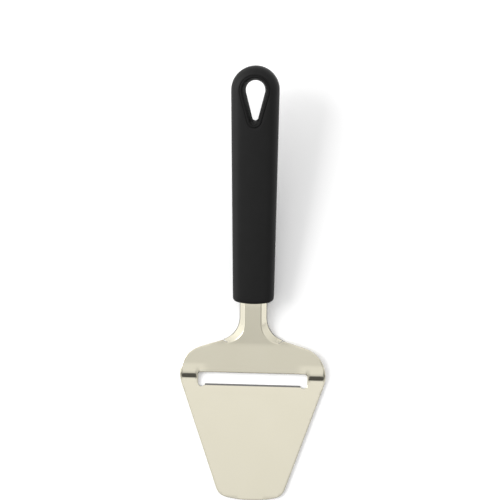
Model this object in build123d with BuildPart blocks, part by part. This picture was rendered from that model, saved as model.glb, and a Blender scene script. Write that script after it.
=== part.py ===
from build123d import *
from math import asin, atan, cos, degrees, radians, sin, sqrt, tan
import os

# Cheese slicer: a stamped steel spade with a slotted cutting edge, in a two-part moulded handle.
#
# Frame, in millimetres: X is the width, and the slicer is alike on both sides of X = 0. Y is the length, with
# the spade's tip towards -Y and the handle towards +Y. Z is up. The origin lies under the middle of the length,
# on the plane that the slicer stands on, which the cutting edge and the chin of the handle touch.
# Places along the blade are given as distances from the tip, and places along the handle from its nose.

# Whole slicer
overall_length = 220.0

# Steel sheet, seen from the side
sheet_thickness = 1.4
lip_drop = 0.25
step_at = 62.6
step_run = 2.7
step_rise = 1.3
step_bend_radius = 2.6
bridge_end_at = 70.0
bridge_slope = 1.5
shoulder_slope = 8.0
soft_bend_radius = 12.0
neck_bend_at = 80.4
neck_slope = 13.5
tang_bend_at = 104.6
tang_slope = 8.0

# Spade and shoulder, seen from above
blade_width = 75.0
widest_at = 64.3
side_taper = 19.5
shoulder_radius = 15.3
shoulder_fall = 18.0
tip_crown_radius = 62.0
tip_corner_radius = 7.0

# Slot, the bridges beside it, and the cutting lip
bridge_width = 9.35
slot_top_at = 65.4
slot_corner_radius = 1.5
cutting_edge_at = 59.4
relief_radius = 1.85
relief_centre_rise = 0.4
bevel_run = 0.8
edge_land = 0.15

# Channelled neck
neck_width = 14.1
channel_flat_width = 8.3
flare_radius = 12.3
crease_radius = 9.6
crease_below_flare = 3.45
crease_sweep = 87.0
flange_depth = 3.4
flange_bend_radius = 0.8
flange_end_at = 108.0

# Tang, hidden in the handle
tang_width = 11.0
tang_start_at = 110.0
tang_length = 50.0
tang_corner_radius = 2.5
tang_hole_diameter = 4.0
tang_hole_shares = (0.3, 0.75)

# Handle
handle_rise = 11.0
nose_at = 103.2
nose_edge_radius = 1.5
butt_width = 23.8
butt_thickness = 17.0
handle_draw = 1.5
long_edge_radius = 5.5
crown_radius = 60.0
skin_thickness = 2.0
core_corner_cut = 2.5

# Ring of hard plastic round the eye: a drop shape with a wide end towards the butt and a narrow one
ring_wide_radius = 7.5
ring_narrow_radius = 3.6
ring_centre_distance = 14.5
ring_face_wall = 1.3
ring_stand = 0.25
parting_groove = 0.35

# Hanging eye at the middle of the handle's thickness, where it is smallest
eye_wide_radius = 4.8
eye_narrow_radius = 1.5
eye_centre_distance = 13.4

# Overrun of a cutting tool past the surface that it cuts
overrun = 5.0


def along(distance):
    """The Y of a place given as a distance from the tip."""
    return distance - overall_length / 2


# Heights of the underside of the sheet at each bend
bridge_height = lip_drop + step_rise
shoulder_height = bridge_height + (bridge_end_at - step_at - step_run) * tan(radians(bridge_slope))
neck_height = shoulder_height + (neck_bend_at - bridge_end_at) * tan(radians(shoulder_slope))
tang_height = neck_height + (tang_bend_at - neck_bend_at) * tan(radians(neck_slope))
tang_end_at = tang_start_at + tang_length
tang_end_height = tang_height + (tang_end_at - tang_bend_at) * tan(radians(tang_slope))

# Plane of the underside of the neck, with its origin on the bend between shoulder and neck
neck_plane = Plane(
    origin=(0, along(neck_bend_at), neck_height),
    x_dir=(1, 0, 0),
    z_dir=(0, -sin(radians(neck_slope)), cos(radians(neck_slope))),
)


def up_neck(distance, height):
    """The place on the neck plane that lies above a distance from the tip, at a height off that plane."""
    return (distance - neck_bend_at + height * sin(radians(neck_slope))) / cos(radians(neck_slope))


# Corners of the spade before they are rounded
taper = radians(side_taper)
fall = radians(shoulder_fall)
corner_reach = shoulder_radius / (1 + cos(taper) * sin(fall) - sin(taper) * cos(fall))
wide_corner_x = blade_width / 2 - shoulder_radius + corner_reach * (cos(taper) + sin(fall))
wide_corner_at = widest_at + corner_reach * (cos(fall) - sin(taper))
tip_half_width = wide_corner_x - wide_corner_at * tan(taper)
tip_corner_rise = tip_crown_radius - sqrt(tip_crown_radius**2 - tip_half_width**2)
tip_corner_x = tip_half_width + tip_corner_rise * tan(taper)
tip_corner_at = tip_crown_radius - sqrt(tip_crown_radius**2 - tip_corner_x**2)
tip_arc_half = asin(tip_corner_x / tip_crown_radius) / 2

# Curves of the neck: the crease where each flange turns down, and the flange's free edge
flare_sweep = 90 - shoulder_fall
flare_centre_x = neck_width / 2 + flare_radius
flare_end_x = flare_centre_x - flare_radius * cos(radians(flare_sweep))
flare_end_at = wide_corner_at + (wide_corner_x - flare_end_x) * tan(fall)
flare_start_at = flare_end_at + flare_radius * sin(radians(flare_sweep))
crease_start_at = flare_start_at - crease_below_flare
crease_centre_x = channel_flat_width / 2 + crease_radius
crease_end_x = crease_centre_x - crease_radius * cos(radians(crease_sweep))
crease_end_at = crease_start_at - crease_radius * sin(radians(crease_sweep))
crease_middle = radians(crease_sweep / 2)

# Flange: its steepness, and how far its inner face lies inside its outer one at the fold and at the free edge
flange_steepness = atan(flange_depth / ((neck_width - channel_flat_width) / 2))
fold_inset = sheet_thickness * tan(flange_steepness / 2)
free_edge_inset = sheet_thickness / sin(flange_steepness)

# Slot and lip
slot_length = blade_width - 2 * bridge_width
relief_centre_x = slot_length / 2 - relief_radius
lip_root_at = cutting_edge_at + relief_centre_rise - relief_radius
lip_length = cutting_edge_at - lip_root_at
bevel_start_height = lip_drop + sheet_thickness - lip_drop * (lip_length - bevel_run) / lip_length

# Handle: its own plane, through the middle of its thickness, with its origin at the nose. From the eye to the
# nose the handle draws in by the same amount on all sides
rise = radians(handle_rise)
nose_thickness = butt_thickness - 2 * handle_draw
butt_half_wall = butt_thickness / 2 - long_edge_radius
butt_reach = overall_length - nose_at - long_edge_radius - butt_half_wall * sin(rise)
handle_length = butt_reach / cos(rise) + long_edge_radius
eye_wide_at = handle_length - butt_width / 2
draw_angle = atan(handle_draw / eye_wide_at)
chin_depth = nose_thickness / 2 + nose_edge_radius * (tan(draw_angle) - 1 / cos(draw_angle))
nose_height = chin_depth * cos(rise) + nose_edge_radius * (1 - sin(rise))
handle_plane = Plane(
    origin=(0, along(nose_at), nose_height),
    x_dir=(1, 0, 0),
    z_dir=(0, -sin(rise), cos(rise)),
)
eye_plane = Plane(
    origin=handle_plane.from_local_coords((0, eye_wide_at, 0)),
    x_dir=(1, 0, 0),
    z_dir=-handle_plane.y_dir,
)


def neck_outline(plane, half_width, radius, arc_centre_at, sweep, top_at):
    """A neck-shaped sketch: straight sides that flare out along arcs and then run down past the flanges."""
    centre_x = half_width + radius
    half_sweep = radians(sweep / 2)
    arc_middle = (centre_x - radius * cos(half_sweep), arc_centre_at - radius * sin(half_sweep))
    arc_end = (
        centre_x - radius * cos(radians(sweep)),
        arc_centre_at - radius * sin(radians(sweep)),
    )
    with BuildSketch(plane) as neck:
        with BuildLine():
            Line((0, top_at), (half_width, top_at))
            Line((half_width, top_at), (half_width, arc_centre_at))
            ThreePointArc((half_width, arc_centre_at), arc_middle, arc_end)
            Line(arc_end, (arc_end[0], arc_end[1] - overrun))
            Line((arc_end[0], arc_end[1] - overrun), (0, arc_end[1] - overrun))
            mirror(about=Plane.YZ)
        make_face()
    return neck.sketch


def neck_solid(top_height, top_inset, low_height, low_inset, top_at):
    """A solid that widens from the crease curve, at one height, to the curve of the free edges below it."""
    crease = neck_outline(
        neck_plane.offset(top_height),
        channel_flat_width / 2 - top_inset,
        crease_radius + top_inset,
        up_neck(crease_start_at, top_height),
        crease_sweep,
        top_at,
    )
    free_edge = neck_outline(
        neck_plane.offset(low_height),
        neck_width / 2 - low_inset,
        flare_radius + low_inset,
        up_neck(flare_start_at, low_height),
        flare_sweep,
        top_at,
    )
    with BuildPart() as solid:
        loft([crease, free_edge], ruled=True)
    return solid.part


# Channel of the neck: a flat between two flanges that are turned down along the crease
with BuildPart() as channel:
    top_end = up_neck(flange_end_at, 0)
    add(neck_solid(sheet_thickness, 0, sheet_thickness - flange_depth, 0, top_end))
    crease_edges = (
        channel.faces()
        .sort_by(Axis(neck_plane.origin, neck_plane.z_dir))
        .last.edges()
        .filter_by(lambda edge: abs(edge.center().X) > channel_flat_width / 4)
        .filter_by(lambda edge: edge.center().Y > along(crease_end_at))
    )
    fillet(crease_edges, radius=flange_bend_radius)
    add(
        neck_solid(0, fold_inset, sheet_thickness - flange_depth, free_edge_inset, top_end + overrun),
        mode=Mode.SUBTRACT,
    )
    # Each flange ends on a slant, from the crease out to its free edge
    end_low = up_neck(crease_end_at, sheet_thickness)
    end_high = up_neck(flare_end_at, sheet_thickness - flange_depth)
    end_gradient = (end_high - end_low) / (flare_end_x - crease_end_x)
    with BuildSketch(neck_plane.offset(-flange_depth)):
        Polygon(
            (-blade_width / 2, end_low + end_gradient * (blade_width / 2 - crease_end_x)),
            (-crease_end_x, end_low),
            (crease_end_x, end_low),
            (blade_width / 2, end_low + end_gradient * (blade_width / 2 - crease_end_x)),
            (blade_width / 2, end_low - blade_width),
            (-blade_width / 2, end_low - blade_width),
            align=None,
        )
    extrude(amount=2 * flange_depth, mode=Mode.SUBTRACT)

# Blade: one stamping of stainless sheet, from the spade's tip to the end of the tang
with BuildPart() as blade:
    # The sheet, bent along its length
    with BuildSketch(Plane.YZ):
        with BuildLine():
            FilletPolyline(
                (along(-overrun), lip_drop),
                (along(step_at), lip_drop),
                (along(step_at + step_run), bridge_height),
                (along(bridge_end_at), shoulder_height),
                (along(neck_bend_at), neck_height),
                (along(tang_bend_at), tang_height),
                (along(tang_end_at + overrun), tang_end_height + overrun * tan(radians(tang_slope))),
                radius=(
                    step_bend_radius,
                    step_bend_radius,
                    soft_bend_radius,
                    soft_bend_radius,
                    soft_bend_radius,
                ),
            )
            offset(amount=sheet_thickness, side=Side.LEFT)
        make_face()
    extrude(amount=blade_width, both=True)

    # Its outline from above
    with BuildSketch() as outline:
        with BuildLine():
            ThreePointArc(
                (0, along(0)),
                (
                    tip_crown_radius * sin(tip_arc_half),
                    along(tip_crown_radius - tip_crown_radius * cos(tip_arc_half)),
                ),
                (tip_corner_x, along(tip_corner_at)),
            )
            Polyline(
                (tip_corner_x, along(tip_corner_at)),
                (wide_corner_x, along(wide_corner_at)),
                (flare_end_x, along(flare_end_at)),
                (crease_end_x, along(crease_end_at)),
            )
            ThreePointArc(
                (crease_end_x, along(crease_end_at)),
                (
                    crease_centre_x - crease_radius * cos(crease_middle),
                    along(crease_start_at - crease_radius * sin(crease_middle)),
                ),
                (channel_flat_width / 2, along(crease_start_at)),
            )
            Polyline(
                (channel_flat_width / 2, along(crease_start_at)),
                (channel_flat_width / 2, along(flange_end_at)),
                (tang_width / 2, along(tang_start_at)),
                (tang_width / 2, along(tang_end_at)),
                (0, along(tang_end_at)),
            )
            mirror(about=Plane.YZ)
        make_face()
        for side in (-1, 1):
            tip_corner = Vector(side * tip_corner_x, along(tip_corner_at))
            wide_corner = Vector(side * wide_corner_x, along(wide_corner_at))
            tang_corner = Vector(side * tang_width / 2, along(tang_end_at))
            fillet(outline.vertices().sort_by_distance(tip_corner)[0], radius=tip_corner_radius)
            fillet(outline.vertices().sort_by_distance(wide_corner)[0], radius=shoulder_radius)
            fillet(outline.vertices().sort_by_distance(tang_corner)[0], radius=tang_corner_radius)
    extrude(amount=overall_length, both=True, mode=Mode.INTERSECT)
    add(channel.part)

    # The cutting lip, bent down between the two reliefs and ground on its upper side
    with BuildSketch(Plane.XY):
        with Locations((0, along(cutting_edge_at))):
            Rectangle(2 * relief_centre_x, 2 * lip_length)
    extrude(amount=overrun, mode=Mode.SUBTRACT)
    with BuildSketch(Plane.YZ):
        Polygon(
            (along(lip_root_at), lip_drop),
            (along(cutting_edge_at), 0),
            (along(cutting_edge_at), edge_land),
            (along(cutting_edge_at - bevel_run), bevel_start_height),
            (along(lip_root_at), lip_drop + sheet_thickness),
            align=None,
        )
    extrude(amount=relief_centre_x, both=True)

    # The slot, with a round relief at each end of the lip
    with BuildSketch(Plane.XY) as slot:
        with Locations((0, along((cutting_edge_at + slot_top_at) / 2))):
            Rectangle(slot_length, slot_top_at - cutting_edge_at)
        fillet(slot.vertices().group_by(Axis.Y)[-1], radius=slot_corner_radius)
        for side in (-1, 1):
            with Locations((side * relief_centre_x, along(cutting_edge_at + relief_centre_rise))):
                Circle(relief_radius)
    extrude(amount=overrun, both=True, mode=Mode.SUBTRACT)

    # Holes in the tang, which the plastic of the handle fills
    with BuildSketch(Plane.XY.offset(tang_height)):
        for share in tang_hole_shares:
            with Locations((0, along(tang_start_at + share * tang_length))):
                Circle(tang_hole_diameter / 2)
    extrude(amount=tang_length, both=True, mode=Mode.SUBTRACT)


def drop_shape(plane, wide, narrow, centre_distance):
    """A drop: a wide arc and a narrow arc, joined by the two lines that touch both."""
    narrow_at = eye_wide_at - centre_distance
    lean = asin((wide - narrow) / centre_distance)
    wide_tangent = (wide * cos(lean), eye_wide_at - wide * sin(lean))
    narrow_tangent = (narrow * cos(lean), narrow_at - narrow * sin(lean))
    with BuildSketch(plane) as drop:
        with BuildLine():
            Line(narrow_tangent, wide_tangent)
            ThreePointArc(wide_tangent, (0, eye_wide_at + wide), (-wide_tangent[0], wide_tangent[1]))
            Line((-wide_tangent[0], wide_tangent[1]), (-narrow_tangent[0], narrow_tangent[1]))
            ThreePointArc(
                (-narrow_tangent[0], narrow_tangent[1]),
                (0, narrow_at - narrow),
                narrow_tangent,
            )
        make_face()
    return drop.sketch


def ring_shape(plane, wall):
    """The ring's drop shape, drawn in from its outside by a wall."""
    return drop_shape(plane, ring_wide_radius - wall, ring_narrow_radius - wall, ring_centre_distance)


def skin_section(stand, half=False):
    """The handle's section at the eye, or its +X half, raised by stand: crowned faces and round corners."""
    half_width = butt_width / 2 + stand
    crown = crown_radius + stand
    crown_top = butt_thickness / 2 + stand
    shoulder = crown_top - crown + sqrt(crown**2 - half_width**2)
    with BuildSketch(eye_plane) as section:
        with BuildLine():
            ThreePointArc((-half_width, shoulder), (0, crown_top), (half_width, shoulder))
            Line((half_width, shoulder), (half_width, -shoulder))
            ThreePointArc((half_width, -shoulder), (0, -crown_top), (-half_width, -shoulder))
            Line((-half_width, -shoulder), (-half_width, shoulder))
        make_face()
        fillet(section.vertices(), radius=long_edge_radius + stand)
        if half:
            split(bisect_by=Plane.YZ)
    return section.sketch


def core_section(half=False):
    """The core's section at the eye, or its +X half: flat faces with their corners cut off."""
    with BuildSketch(eye_plane) as section:
        Rectangle(butt_width - 2 * skin_thickness, butt_thickness - 2 * skin_thickness)
        chamfer(section.vertices(), length=core_corner_cut)
        if half:
            split(bisect_by=Plane.YZ)
    return section.sketch


def handle_form(section, half_section, nose_radius):
    """A form of the handle: a section drawn in towards the nose, with half a turn of it for the butt."""
    with BuildPart() as form:
        extrude(section, amount=eye_wide_at, taper=degrees(draw_angle))
        if nose_radius > 0:
            nose_face = form.faces().sort_by(Axis(handle_plane.origin, handle_plane.y_dir)).first
            fillet(nose_face.edges(), radius=nose_radius)
        revolve(half_section, axis=Axis(eye_plane.origin, handle_plane.z_dir), revolution_arc=180)
    return form.part


def on_rim(edge):
    """Whether an edge lies round the eye in the handle's upper or lower face, and isn't a seam across it."""
    middle = handle_plane.to_local_coords(edge).center()
    beside_ring = abs(middle.X) < ring_wide_radius + ring_face_wall
    past_ring_start = middle.Y > eye_wide_at - ring_centre_distance - ring_narrow_radius - ring_face_wall
    before_ring_end = middle.Y < eye_wide_at + ring_wide_radius + ring_face_wall
    off_seam = abs(middle.Y - eye_wide_at) > parting_groove
    outside_core = abs(middle.Z) > (butt_thickness - skin_thickness) / 2
    return beside_ring and past_ring_start and before_ring_end and off_seam and outside_core


# Ring of hard plastic that lines the eye and stands a little proud of the skin
with BuildPart() as ring:
    add(handle_form(skin_section(ring_stand), skin_section(ring_stand, half=True), 0))
    extrude(ring_shape(handle_plane, 0), amount=butt_thickness, both=True, mode=Mode.INTERSECT)
    # The eye widens from the middle of the thickness to both faces
    eye_middle = drop_shape(handle_plane, eye_wide_radius, eye_narrow_radius, eye_centre_distance)
    for direction in (-1, 1):
        face_plane = handle_plane.offset(direction * (butt_thickness / 2 + ring_stand))
        loft([eye_middle, ring_shape(face_plane, ring_face_wall)], ruled=True, mode=Mode.SUBTRACT)

# Hard core of the handle, moulded round the tang, with the ring in its end
core_form = handle_form(core_section(), core_section(half=True), 0)
with BuildPart() as handle_core:
    add(core_form)
    extrude(ring_shape(handle_plane, ring_face_wall), amount=butt_thickness, both=True, mode=Mode.SUBTRACT)
    add(ring.part)
    add(blade.part, mode=Mode.SUBTRACT)


# Soft skin of the handle, moulded over the core and up to the ring, which a fine groove sets off
with BuildPart() as soft_grip:
    add(handle_form(skin_section(0), skin_section(0, half=True), nose_edge_radius))
    add(core_form, mode=Mode.SUBTRACT)
    extrude(ring_shape(handle_plane, 0), amount=butt_thickness, both=True, mode=Mode.SUBTRACT)
    chamfer(soft_grip.edges().filter_by(on_rim), length=parting_groove)

os.makedirs("parts", exist_ok=True)

blade.part.label = "blade"
export_step(blade.part, "parts/blade.step")

handle_core.part.label = "handle_core"
export_step(handle_core.part, "parts/handle_core.step")

soft_grip.part.label = "soft_grip"
export_step(soft_grip.part, "parts/soft_grip.step")
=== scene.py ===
from math import acos, asin, atan, cos, degrees, hypot, radians, sin, sqrt, tan

import bpy
from mathutils import Matrix, Vector
from mathutils.geometry import delaunay_2d_cdt
from mathutils.kdtree import KDTree


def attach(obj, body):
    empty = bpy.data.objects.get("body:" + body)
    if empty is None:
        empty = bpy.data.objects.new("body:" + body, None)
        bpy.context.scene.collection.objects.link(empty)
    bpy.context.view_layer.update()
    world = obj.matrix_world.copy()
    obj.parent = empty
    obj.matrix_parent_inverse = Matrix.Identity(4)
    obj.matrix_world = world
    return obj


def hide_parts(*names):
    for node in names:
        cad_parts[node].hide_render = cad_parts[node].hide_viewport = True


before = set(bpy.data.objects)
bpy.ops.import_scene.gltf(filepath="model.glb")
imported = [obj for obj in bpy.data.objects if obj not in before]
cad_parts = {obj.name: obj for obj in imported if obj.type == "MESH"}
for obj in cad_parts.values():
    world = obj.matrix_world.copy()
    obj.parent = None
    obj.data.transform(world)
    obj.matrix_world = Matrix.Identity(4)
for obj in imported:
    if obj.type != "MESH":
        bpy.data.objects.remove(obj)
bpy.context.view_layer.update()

# Sizes in millimetres and degrees. Places along the blade are distances from its tip, and places along the
# handle are distances from its nose. The solids have the same sizes, but their tang bends further back.
MM = 0.001
LENGTH = 220.0

# Sheet of the blade from the side
SHEET = 1.4
LIP_DROP = 0.25
STEP_AT, STEP_RUN, STEP_RISE, STEP_BEND = 62.6, 2.7, 1.3, 2.6
BRIDGE_END, BRIDGE_SLOPE = 70.0, 1.5
SHOULDER_SLOPE = 8.0
SOFT_BEND = 12.0
NECK_BEND, NECK_SLOPE = 80.4, 13.5
TANG_BEND, TANG_SLOPE = 100.8, 8.0
TANG_END = 160.0
BEND_PARTS = 12

# Spade and shoulder from above
BLADE_WIDTH = 75.0
WIDEST_AT, SIDE_TAPER = 64.3, 19.5
SHOULDER_RADIUS, SHOULDER_FALL = 15.3, 18.0
TIP_CROWN, TIP_CORNER = 62.0, 7.0

# Slot and cutting edge
SLOT_HALF, SLOT_TOP, SLOT_CORNER = 28.15, 65.4, 1.5
EDGE_AT, EDGE_LAND, BEVEL_RUN = 59.4, 0.15, 0.8
RELIEF_RADIUS, RELIEF_RISE = 1.85, 0.4
LIP_BEND = 0.4

# Neck, flanges and tang
NECK_HALF, FLAT_HALF = 7.05, 4.15
FLARE_RADIUS, CREASE_RADIUS, CREASE_SWEEP = 12.3, 9.6, 87.0
CREASE_BELOW_FLARE = 3.45
FLANGE_DEPTH, FOLD_RADIUS = 3.4, 0.8
FLANGE_END, FLANGE_FADE, LEAST_FLANGE = 108.0, 2.5, 0.9
TANG_HALF, TANG_START, TANG_CORNER = 5.5, 110.0, 2.5
TANG_SHOULDER, TANG_SHOULDER_RUN = 0.4, 1.0
TANG_HOLE_RADIUS, TANG_HOLES_AT = 2.0, (15.0, 37.5)

# Handle, its ring and its hanging eye
HANDLE_RISE = radians(11.0)
NOSE_AT, NOSE_EDGE = 103.2, 1.5
BUTT_HALF, BUTT_THICK, HANDLE_DRAW = 11.9, 17.0, 1.5
LONG_EDGE, CROWN = 5.5, 60.0
SKIN = 2.0
RING_WIDE, RING_NARROW, RING_DISTANCE = 7.5, 3.6, 14.5
RING_WALL, RING_STAND, GROOVE = 1.3, 0.25, 0.35
EYE_WIDE, EYE_NARROW, EYE_DISTANCE = 4.8, 1.5, 13.4

# Small forms that only the visible pieces have
EDGE_ROUND, RELIEF_ROUND, KEEN_ROUND = 0.28, 0.06, 0.03
NECK_ROUND, NECK_ROUND_GAIN, NECK_ROUND_AT, NECK_ROUND_RUN = 0.12, 0.18, 1.2, 2.0
SLIT_HALF, SLIT_TURN = 0.13, 3.5
FLANGE_EDGE = 0.65
CORNER_ROLL, CORNER_ROLL_RUN, CORNER_ROLL_CURVE = 0.26, 0.95, 1.6
SOFT_STEP_START, SOFT_STEP_END = 59.5, 68.5
SOFT_BY_SLOT, SOFT_BY_SLOT_RUN, SOFT_BY_SIDE, SOFT_BY_SIDE_RUN = 0.2, 1.3, 1.5, 1.4
PLAIN_SHOULDER_HALF, PLAIN_SHOULDER_BLEND, BRIDGE_SHARE, BRIDGE_BLEND = 27.0, 6.0, 0.25, 3.0
NOSE_BOW, NOSE_BOW_RUN, NOSE_RAKE = 1.5, 16.0, 0.8
RIM_ROUND = 0.6

# Room between pieces, and the gap below which two places count as one
HAIR = 0.02
CORE_ROOM, CORE_NOSE_ROOM = 0.03, 0.05
TOUCH = 0.01


# Plan curves


def arc(centre, radius, start, end, count):
    """Points along an arc in plan, between two angles in degrees, with both its ends."""
    turns = [radians(start + (end - start) * k / count) for k in range(count + 1)]
    return [(centre[0] + radius * cos(turn), centre[1] + radius * sin(turn)) for turn in turns]


def run(start, end, step):
    """Points along a straight run in plan, without its two ends."""
    count = max(1, round(hypot(end[0] - start[0], end[1] - start[1]) / step))
    shares = [k / count for k in range(1, count)]
    return [(start[0] + (end[0] - start[0]) * t, start[1] + (end[1] - start[1]) * t) for t in shares]


def steps(start, end, step):
    """Even steps from start to end, with both."""
    count = max(1, round((end - start) / step))
    return [start + (end - start) * k / count for k in range(count + 1)]


def ease(share):
    """A smooth rise from 0 to 1."""
    share = min(1, max(0, share))
    return share * share * (3 - 2 * share)


def mirrored(half):
    """A closed loop from its +X half, whose two ends lie on X = 0."""
    return half + [(-x, y) for x, y in reversed(half[1:-1])]


def inset(loop, depths):
    """A closed loop moved to its left by a depth for each point. Corners move at most twice as far."""
    moved = []
    for k, (x, y) in enumerate(loop):
        before, after = Vector(loop[k - 1]), Vector(loop[(k + 1) % len(loop)])
        here = Vector((x, y))
        first, second = (here - before).normalized(), (after - here).normalized()
        middle = (first + second).normalized()
        stretch = max(0.5, middle.dot(first))
        moved.append((x - middle.y * depths[k] / stretch, y + middle.x * depths[k] / stretch))
    return moved


def holds(loop, x, y):
    """Whether a closed loop goes round a point."""
    inside = False
    for k, (x1, y1) in enumerate(loop):
        x0, y0 = loop[k - 1]
        if (y0 > y) != (y1 > y) and x < x0 + (x1 - x0) * (y - y0) / (y1 - y0):
            inside = not inside
    return inside


def add_points(points, added):
    """Adds points to a list and returns their numbers in it."""
    points += added
    return list(range(len(points) - len(added), len(points)))


def spread(border, holes, fixed, rows, columns, clear):
    """Grid points inside the border and outside the holes that keep clear of the fixed points."""
    tree = KDTree(len(fixed))
    for k, (x, y) in enumerate(fixed):
        tree.insert((x, y, 0), k)
    tree.balance()
    grid = []
    for j, y in enumerate(rows):
        shift = (columns[1] - columns[0]) / 2 * (j % 2)
        for x in columns:
            spot = (x + shift, y)
            if tree.find((*spot, 0))[2] > clear and holds(border, *spot):
                if not any(holds(hole, *spot) for hole in holes):
                    grid.append(spot)
    return grid


def fill(points, loops, border, holes, rows=()):
    """Triangles between points in plan, as index triples that turn left, inside the border and outside the
    holes. The loops, with the border and the holes among them, are lists of point numbers that turn left.
    No triangle crosses a row, which is a list of point numbers along a line."""
    edges = [(loop[k - 1], loop[k]) for loop in loops for k in range(len(loop))]
    edges += [pair for row in rows for pair in zip(row, row[1:])]
    _, _, faces, sources, _, _ = delaunay_2d_cdt([Vector(p) for p in points], edges, [], 0, 1e-6)
    kept = {(border[k - 1], border[k]): True for k in range(len(border))}
    kept.update({(hole[k], hole[k - 1]): True for hole in holes for k in range(len(hole))})
    owner = {}
    for face in faces:
        ids = tuple(sources[k][0] for k in face)
        for k in range(3):
            owner[(ids[k - 1], ids[k])] = ids
    triangles = {}
    reached = [owner[side] for side in kept]
    while reached:
        ids = reached.pop()
        if ids in triangles:
            continue
        triangles[ids] = True
        for k in range(3):
            if (ids[k - 1], ids[k]) not in kept:
                reached.append(owner[(ids[k], ids[k - 1])])
    return list(triangles)


# Closed surfaces and pieces


def turned_over(faces, count):
    """A copy of the faces that looks the other way, whose points are numbered on from count."""
    return [tuple(k + count for k in reversed(face)) for face in faces]


def open_edges(faces):
    """The edges of a surface that only one face has, in the order of the faces."""
    used = {}
    for face in faces:
        for k, b in enumerate(face):
            used[(face[k - 1], b)] = True
    return [(a, b) for a, b in used if (b, a) not in used]


def walls(faces, count):
    """Faces that join each open edge of a surface to its copy, whose points are numbered on from count."""
    return [(b, a, a + count, b + count) for a, b in open_edges(faces)]


def open_loops(faces):
    """The open edges of a surface, put together into loops."""
    follows = dict(open_edges(faces))
    loops = []
    while follows:
        start, here = follows.popitem()
        loop = [start]
        while here != start:
            loop.append(here)
            here = follows.pop(here)
        loops.append(loop)
    return loops


def new_piece(name, points, faces, node, materials, sharp, finishes=None):
    """A piece from its points in millimetres, with one of its materials for each face."""
    mesh = bpy.data.meshes.new(name)
    mesh.from_pydata([Vector(p) * MM for p in points], [], faces)
    for material in materials:
        mesh.materials.append(material)
    if finishes:
        mesh.polygons.foreach_set("material_index", finishes)
    mesh.validate()
    mesh.update()
    finish_piece(name, mesh, node, sharp)


def finish_piece(name, mesh, node, sharp):
    """Makes a mesh a smooth piece in place of a solid. Edges past the sharp angle stay sharp."""
    mesh.shade_smooth()
    mesh.set_sharp_from_angle(angle=radians(sharp))
    piece = bpy.data.objects.new(name, mesh)
    bpy.context.collection.objects.link(piece)
    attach(piece, "root")
    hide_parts(node)


# Finishes


def linear(colour):
    """The linear colour of an sRGB hex value."""
    shares = [int(colour[i:i + 2], 16) / 255 for i in (1, 3, 5)]
    return tuple(c / 12.92 if c <= 0.04045 else ((c + 0.055) / 1.055) ** 2.4 for c in shares) + (1,)


def add_node(tree, kind, settings=(), **links):
    """Adds a node, with its settings and its inputs: a socket's name or, after the letter i, its number.
    A node as an input stands for its first output."""
    node = tree.nodes.new(kind)
    for key, value in dict(settings).items():
        setattr(node, key, value)
    for key, value in links.items():
        numbered = key[0] == "i" and key[1:].isdigit()
        socket = node.inputs[int(key[1:])] if numbered else node.inputs[key.replace("_", " ")]
        if isinstance(value, bpy.types.Node):
            value = value.outputs[0]
        if isinstance(value, bpy.types.NodeSocket):
            tree.links.new(value, socket)
        else:
            socket.default_value = value
    return node


def new_material(finish):
    """A material named for a finish, which takes its tree and Object coordinates and adds its shader."""
    material = bpy.data.materials.new(finish.__name__)
    material.use_nodes = True
    tree = material.node_tree
    tree.nodes.clear()
    shader = finish(tree, add_node(tree, "ShaderNodeTexCoord").outputs["Object"])
    add_node(tree, "ShaderNodeOutputMaterial", Surface=shader)
    return material


def worn_by(tree, pattern, gloss, strength, depth, **links):
    """What a pattern gives a surface: its roughness between two values, and its relief in millimetres."""
    rough = add_node(tree, "ShaderNodeMapRange", Value=pattern, i3=gloss[0], i4=gloss[1])
    relief = add_node(tree, "ShaderNodeBump", Height=pattern, Strength=strength, Distance=depth * MM, **links)
    return {"Roughness": rough, "Normal": relief}


def cold_rolled_stainless_sheet(tree, place):
    """Stainless sheet with the smooth satin finish of the last rolls: a warm, very even grey with soft
    reflections that wander a little, because the sheet is never quite flat. Its streaks along the blade are
    a tenth of a millimetre wide on the real sheet and are drawn at 0.4 mm, so that they show."""
    streak_size = (1 / (0.4 * MM), 1 / (25 * MM), 1 / (0.4 * MM))
    along = add_node(tree, "ShaderNodeMapping", Vector=place, Scale=streak_size)
    streaks = add_node(tree, "ShaderNodeTexNoise", Vector=along, Scale=1.0)
    clouds = add_node(tree, "ShaderNodeTexNoise", Vector=place, Scale=1 / (18 * MM), Detail=3.0)
    waves = add_node(tree, "ShaderNodeTexNoise", Vector=place, Scale=1 / (3 * MM))
    tint = add_node(
        tree, "ShaderNodeMix", {"data_type": "RGBA"}, Factor=clouds,
        i6=linear("#D6D1BE"), i7=linear("#DAD5C3"),
    )
    wander = add_node(tree, "ShaderNodeBump", Height=waves, Strength=0.12, Distance=0.1 * MM)
    worn = worn_by(tree, streaks, (0.12, 0.17), 0.02, 0.01, Normal=wander)
    return add_node(tree, "ShaderNodeBsdfPrincipled", Base_Color=tint.outputs[2], Metallic=1.0, **worn)


def ground_stainless_bevel(tree, place):
    """The bevel of the cutting edge, ground on a fine wheel: a darker, bare grey line with grinding lines
    across the edge. They are drawn 0.25 mm apart, so that they show."""
    line_size = (1 / (0.25 * MM), 1 / (6 * MM), 1 / (6 * MM))
    across = add_node(tree, "ShaderNodeMapping", Vector=place, Scale=line_size)
    lines = add_node(tree, "ShaderNodeTexNoise", Vector=across, Scale=1.0)
    worn = worn_by(tree, lines, (0.16, 0.3), 0.12, 0.02)
    return add_node(tree, "ShaderNodeBsdfPrincipled", Base_Color=linear("#737270"), Metallic=1.0, **worn)


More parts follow.
